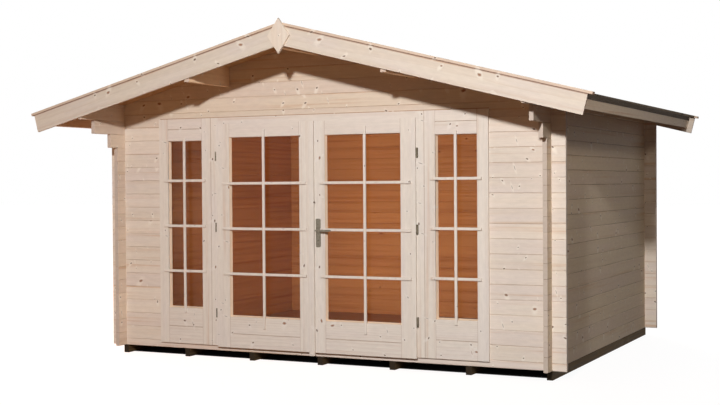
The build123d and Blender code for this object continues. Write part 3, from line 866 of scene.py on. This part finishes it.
def keyhole():
    low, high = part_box("handle_plates")
    x = (low[0] + high[0]) / 2
    z = low[2] + LOCK_HEIGHT
    start = math.asin(KEYHOLE_SLOT / KEYHOLE_RADIUS)
    outline = []
    for k in range(KEYHOLE_STEPS):
        turn = start + k * (2 * math.pi - 2 * start) / (KEYHOLE_STEPS - 1)
        outline.append((x + KEYHOLE_RADIUS * math.sin(turn), z - KEYHOLE_RADIUS * math.cos(turn)))
    outline += [(x - KEYHOLE_SLOT, z - KEYHOLE_LENGTH), (x + KEYHOLE_SLOT, z - KEYHOLE_LENGTH)]
    bm = bmesh.new()
    prism(bm, outline, low[1] - KEYHOLE_PROUD, low[1])
    piece("lock_keyhole", bm, "right_door", "handle_metal", keyhole_painted_shade)


keyhole()


# Strips of each roof slope, measured along it from the ridge and square to it from the boards' top
def slope_point(side, along, rise):
    x = along * SLOPE_COS + rise * SLOPE_SIN
    return side * x, roof_apex - along * SLOPE_SIN + rise * SLOPE_COS


def slope_strip(side, low, high, end):
    """Outline of a strip from the ridge, where it is cut upright, to its square lower end."""
    return [slope_point(side, -low * math.tan(ROOF_PITCH), low), slope_point(side, end, low),
            slope_point(side, end, high), slope_point(side, -high * math.tan(ROOF_PITCH), high)]


def slope_reach(node):
    """How far a node reaches down the slope."""
    low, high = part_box(node)
    return max(abs(low[0]), abs(high[0])) / SLOPE_COS


# Roof boards side by side down each slope, with V joints below
BOARD_WIDTH = 0.096  # nearly, of roof and floor boards
BOARD_V = 0.003
BOARD_GAP = 0.0004


def roof_boards(name, side):
    count = round((roof_back - roof_front) / BOARD_WIDTH)
    pitch = (roof_back - roof_front) / count
    outline = slope_strip(side, -ROOF_BOARD_THICKNESS, 0, slope_reach(f"{name}_roof_boards"))
    bm = bmesh.new()
    for k in range(count):
        y0 = roof_front + k * pitch + BOARD_GAP / 2
        faces = prism(bm, outline, y0, y0 + pitch - BOARD_GAP)
        underside = faces[2]
        joint_edges = [e for end in faces[:2] for e in end.edges if underside in e.link_faces[:]]
        bmesh.ops.bevel(bm, geom=joint_edges, offset=BOARD_V, segments=1, affect="EDGES")
    made = piece(f"{name}_roof_board_set", bm, "cabin", "planed_wood", roof_board_wood)
    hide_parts(f"{name}_roof_boards")


# Felt turned up against the strip that caps the roof's rear edge
CAP_BASE = 0.003
CAP_TOP = 0.023
CAP_WIDTH = 0.058
LAP_THICKNESS = 0.0015
LAP_FIT = 0.0002


def felt_lap(name, side):
    outline = slope_strip(side, CAP_BASE + LAP_FIT, CAP_TOP - LAP_FIT, slope_reach(f"{name}_roof_felt"))
    lap_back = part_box(f"{name}_bargeboard_caps")[1][1] - CAP_WIDTH - LAP_FIT
    bm = bmesh.new()
    prism(bm, outline, lap_back - LAP_THICKNESS, lap_back)
    piece(f"{name}_rear_felt_lap", bm, "cabin", "roof_felt", felt)


for name, side in SIDES.items():
    roof_boards(name, side)
    felt_lap(name, side)


# Floor boards side by side from front to back
def floor_boards():
    low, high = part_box("floor_boards")
    count = round((high[1] - low[1]) / BOARD_WIDTH)
    pitch = (high[1] - low[1]) / count
    bm = bmesh.new()
    for k in range(count):
        y0 = low[1] + k * pitch
        chamfered(bm, (low[0], y0 + BOARD_GAP / 2, low[2]), (high[0], y0 + pitch - BOARD_GAP / 2, high[2]),
                  BOARD_V / 2)
    made = piece("floor_board_set", bm, "cabin", "floor_boards", floor_wood)
    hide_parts("floor_boards")


floor_boards()


# Stage
GROUND = Settings(
    reach=60.0,
    left=(182, 122, 66),  # colours that bounce up to the cabin
    right=(62, 39, 19),
    turn=(-3.5, 3.0),  # places along X between which the one gives way to the other
    ragged=3.0,
    ragged_reach=0.3,
    # Painted shadow: near black on the ground under the cabin's floor
    under_floor=(10, 9, 8),
    sill_reach=0.10,  # of daylight under the front wall, where the painted shadow stops
    shown=0.94,  # brightness to the eye beside the cabin
    clearing=(4.0, 12.0),  # distances over which it clears to the backdrop's white
    roughness=0.9,
    daylight=(0.97, 0.99, 1.0, 1.0),
)


def ground_look():
    """Ground that shows near white to the eye, keeps the cabin's shadow and has a painted shadow, near
    black, under the floor.
    """
    g = Look("ground_look")
    x, y = g.split(g.place)[:2]
    # Mask of the painted shadow under the floor, where the ground is near black and shows no white
    under = g.mul(g.between(x, -half_width, half_width), g.between(y, front_y + GROUND.sill_reach, back_y))
    turn = g.add(x, g.mul(g.noise(g.place, GROUND.ragged, detail=3.0), GROUND.ragged_reach))
    colour = g.mix(g.fit(turn, *GROUND.turn), linear(*GROUND.left), linear(*GROUND.right))
    colour = g.mix(under, colour, linear(*GROUND.under_floor))
    shown = g.fit(g.hypotenuse(x, y), *GROUND.clearing, GROUND.shown, 1.0)
    shown = g.mul(shown, g.sub(1.0, under))
    return g.finish(Base_Color=colour, Roughness=GROUND.roughness, Emission_Color=GROUND.daylight,
                    Emission_Strength=g.mul(g.seen(), shown))


def ground():
    bm = bmesh.new()
    bmesh.ops.create_grid(bm, x_segments=1, y_segments=1, size=GROUND.reach)
    mesh = bpy.data.meshes.new("ground")
    bm.to_mesh(mesh)
    bm.free()
    made = bpy.data.objects.new("ground", mesh)
    bpy.context.collection.objects.link(made)
    mesh.materials.append(ground_look())


ground()


# Light
WHITE = (1.0, 1.0, 1.0)
AMBIENT = 0.02
AMBIENT_COLOUR = (1.0, 0.78, 0.55)
LAMP_AIM = Vector((0.0, 0.0, 1.1))
LAMPS = {
    "key": dict(azimuth=18.1, elevation=17.8, distance=9.85, size=0.38, level=0.66, colour=WHITE),
    "side_key": dict(azimuth=65, elevation=26.8, distance=6.66, size=1.0, level=0.105,
                     colour=(1.0, 0.87, 0.72)),
    "left_fill": dict(azimuth=-50, elevation=4, distance=5.0, size=2.5, level=0.030,
                      colour=(1.0, 0.80, 0.60)),
    "rear_fill": dict(azimuth=205, elevation=35, distance=12.0, size=5.0, level=0.45, colour=WHITE),
    "left_wall_fill": dict(azimuth=262, elevation=20, distance=9.0, size=4.0, level=0.30,
                           colour=(1.0, 0.95, 0.88)),
}
ROOM_LIGHT = Settings(
    width=2.0,
    height=1.4,
    x=-0.45,
    z=1.0,
    behind_wall=0.15,
    tilt=math.radians(95),  # from straight down; just above level
    spread=math.radians(115),
    level=0.25,
    colour=(1.0, 0.88, 0.74),
)


def backdrop():
    """White to the eye, and a faint warm light to all else."""
    world = bpy.data.worlds.new("studio")
    bpy.context.scene.world = world
    world.use_nodes = True
    g = Graph(world.node_tree)
    seen = g.seen()
    sky = world.node_tree.nodes["Background"]
    g.put(sky.inputs["Color"], g.mix(seen, (*AMBIENT_COLOUR, 1.0), (*WHITE, 1.0)))
    g.put(sky.inputs["Strength"], g.fit(seen, 0.0, 1.0, AMBIENT, 1.0))


def soft_box(name, shape, level, distance, colour):
    """An area lamp; level 1 lights a facing surface at that distance to its own colour."""
    data = bpy.data.lights.new(name, "AREA")
    data.shape = shape
    data.energy = level * (math.pi * distance) ** 2
    data.color = colour
    made = bpy.data.objects.new(name, data)
    made.visible_camera = False
    bpy.context.collection.objects.link(made)
    return made


def lamp(name, azimuth, elevation, distance, size, level, colour):
    """A round soft box aimed at the cabin from outside."""
    a = math.radians(azimuth)
    e = math.radians(elevation)
    direction = Vector((math.sin(a) * math.cos(e), -math.cos(a) * math.cos(e), math.sin(e)))
    made = soft_box(name, "DISK", level, distance, colour)
    made.data.size = size
    made.location = LAMP_AIM + direction * distance
    made.rotation_euler = direction.to_track_quat("Z", "Y").to_euler()


def room_lamp():
    """Daylight that comes in through the panes, as a soft box just behind them."""
    made = soft_box("room_light", "RECTANGLE", ROOM_LIGHT.level, back_y - front_back_y, ROOM_LIGHT.colour)
    made.data.size = ROOM_LIGHT.width
    made.data.size_y = ROOM_LIGHT.height
    made.data.spread = ROOM_LIGHT.spread
    made.location = (ROOM_LIGHT.x, front_back_y + ROOM_LIGHT.behind_wall, ROOM_LIGHT.z)
    made.rotation_euler = (ROOM_LIGHT.tilt, 0.0, 0.0)
    made.visible_glossy = False
    made.visible_transmission = False


backdrop()
for name, settings in LAMPS.items():
    lamp(name, **settings)
room_lamp()


# Camera, solved from the vanishing points of the log joints
CAMERA = Settings(
    yaw=math.radians(26.083),
    pitch=math.radians(-0.911),
    roll=math.radians(-0.404),
    focal_pixels=1223.7,
    image_width=720,
    sensor_width=36.0,
    x=4.616,
    before_wall=8.671,
    z=1.463,
)


def camera():
    yaw, pitch, roll = CAMERA.yaw, CAMERA.pitch, CAMERA.roll
    forward = Vector((-math.sin(yaw) * math.cos(pitch), math.cos(yaw) * math.cos(pitch), math.sin(pitch)))
    level = Vector((math.cos(yaw), math.sin(yaw), 0.0))
    right = level * math.cos(roll) + level.cross(forward) * math.sin(roll)
    up = right.cross(forward)
    data = bpy.data.cameras.new("camera")
    data.sensor_width = CAMERA.sensor_width
    data.lens = CAMERA.focal_pixels / CAMERA.image_width * CAMERA.sensor_width
    made = bpy.data.objects.new("camera", data)
    place = Vector((CAMERA.x, front_y - CAMERA.before_wall, CAMERA.z))
    made.matrix_world = Matrix.Translation(place) @ Matrix((right, up, -forward)).transposed().to_4x4()
    bpy.context.collection.objects.link(made)
    bpy.context.scene.camera = made


camera()
bpy.context.scene.view_settings.view_transform = "Standard"

bpy.context.view_layer.update()
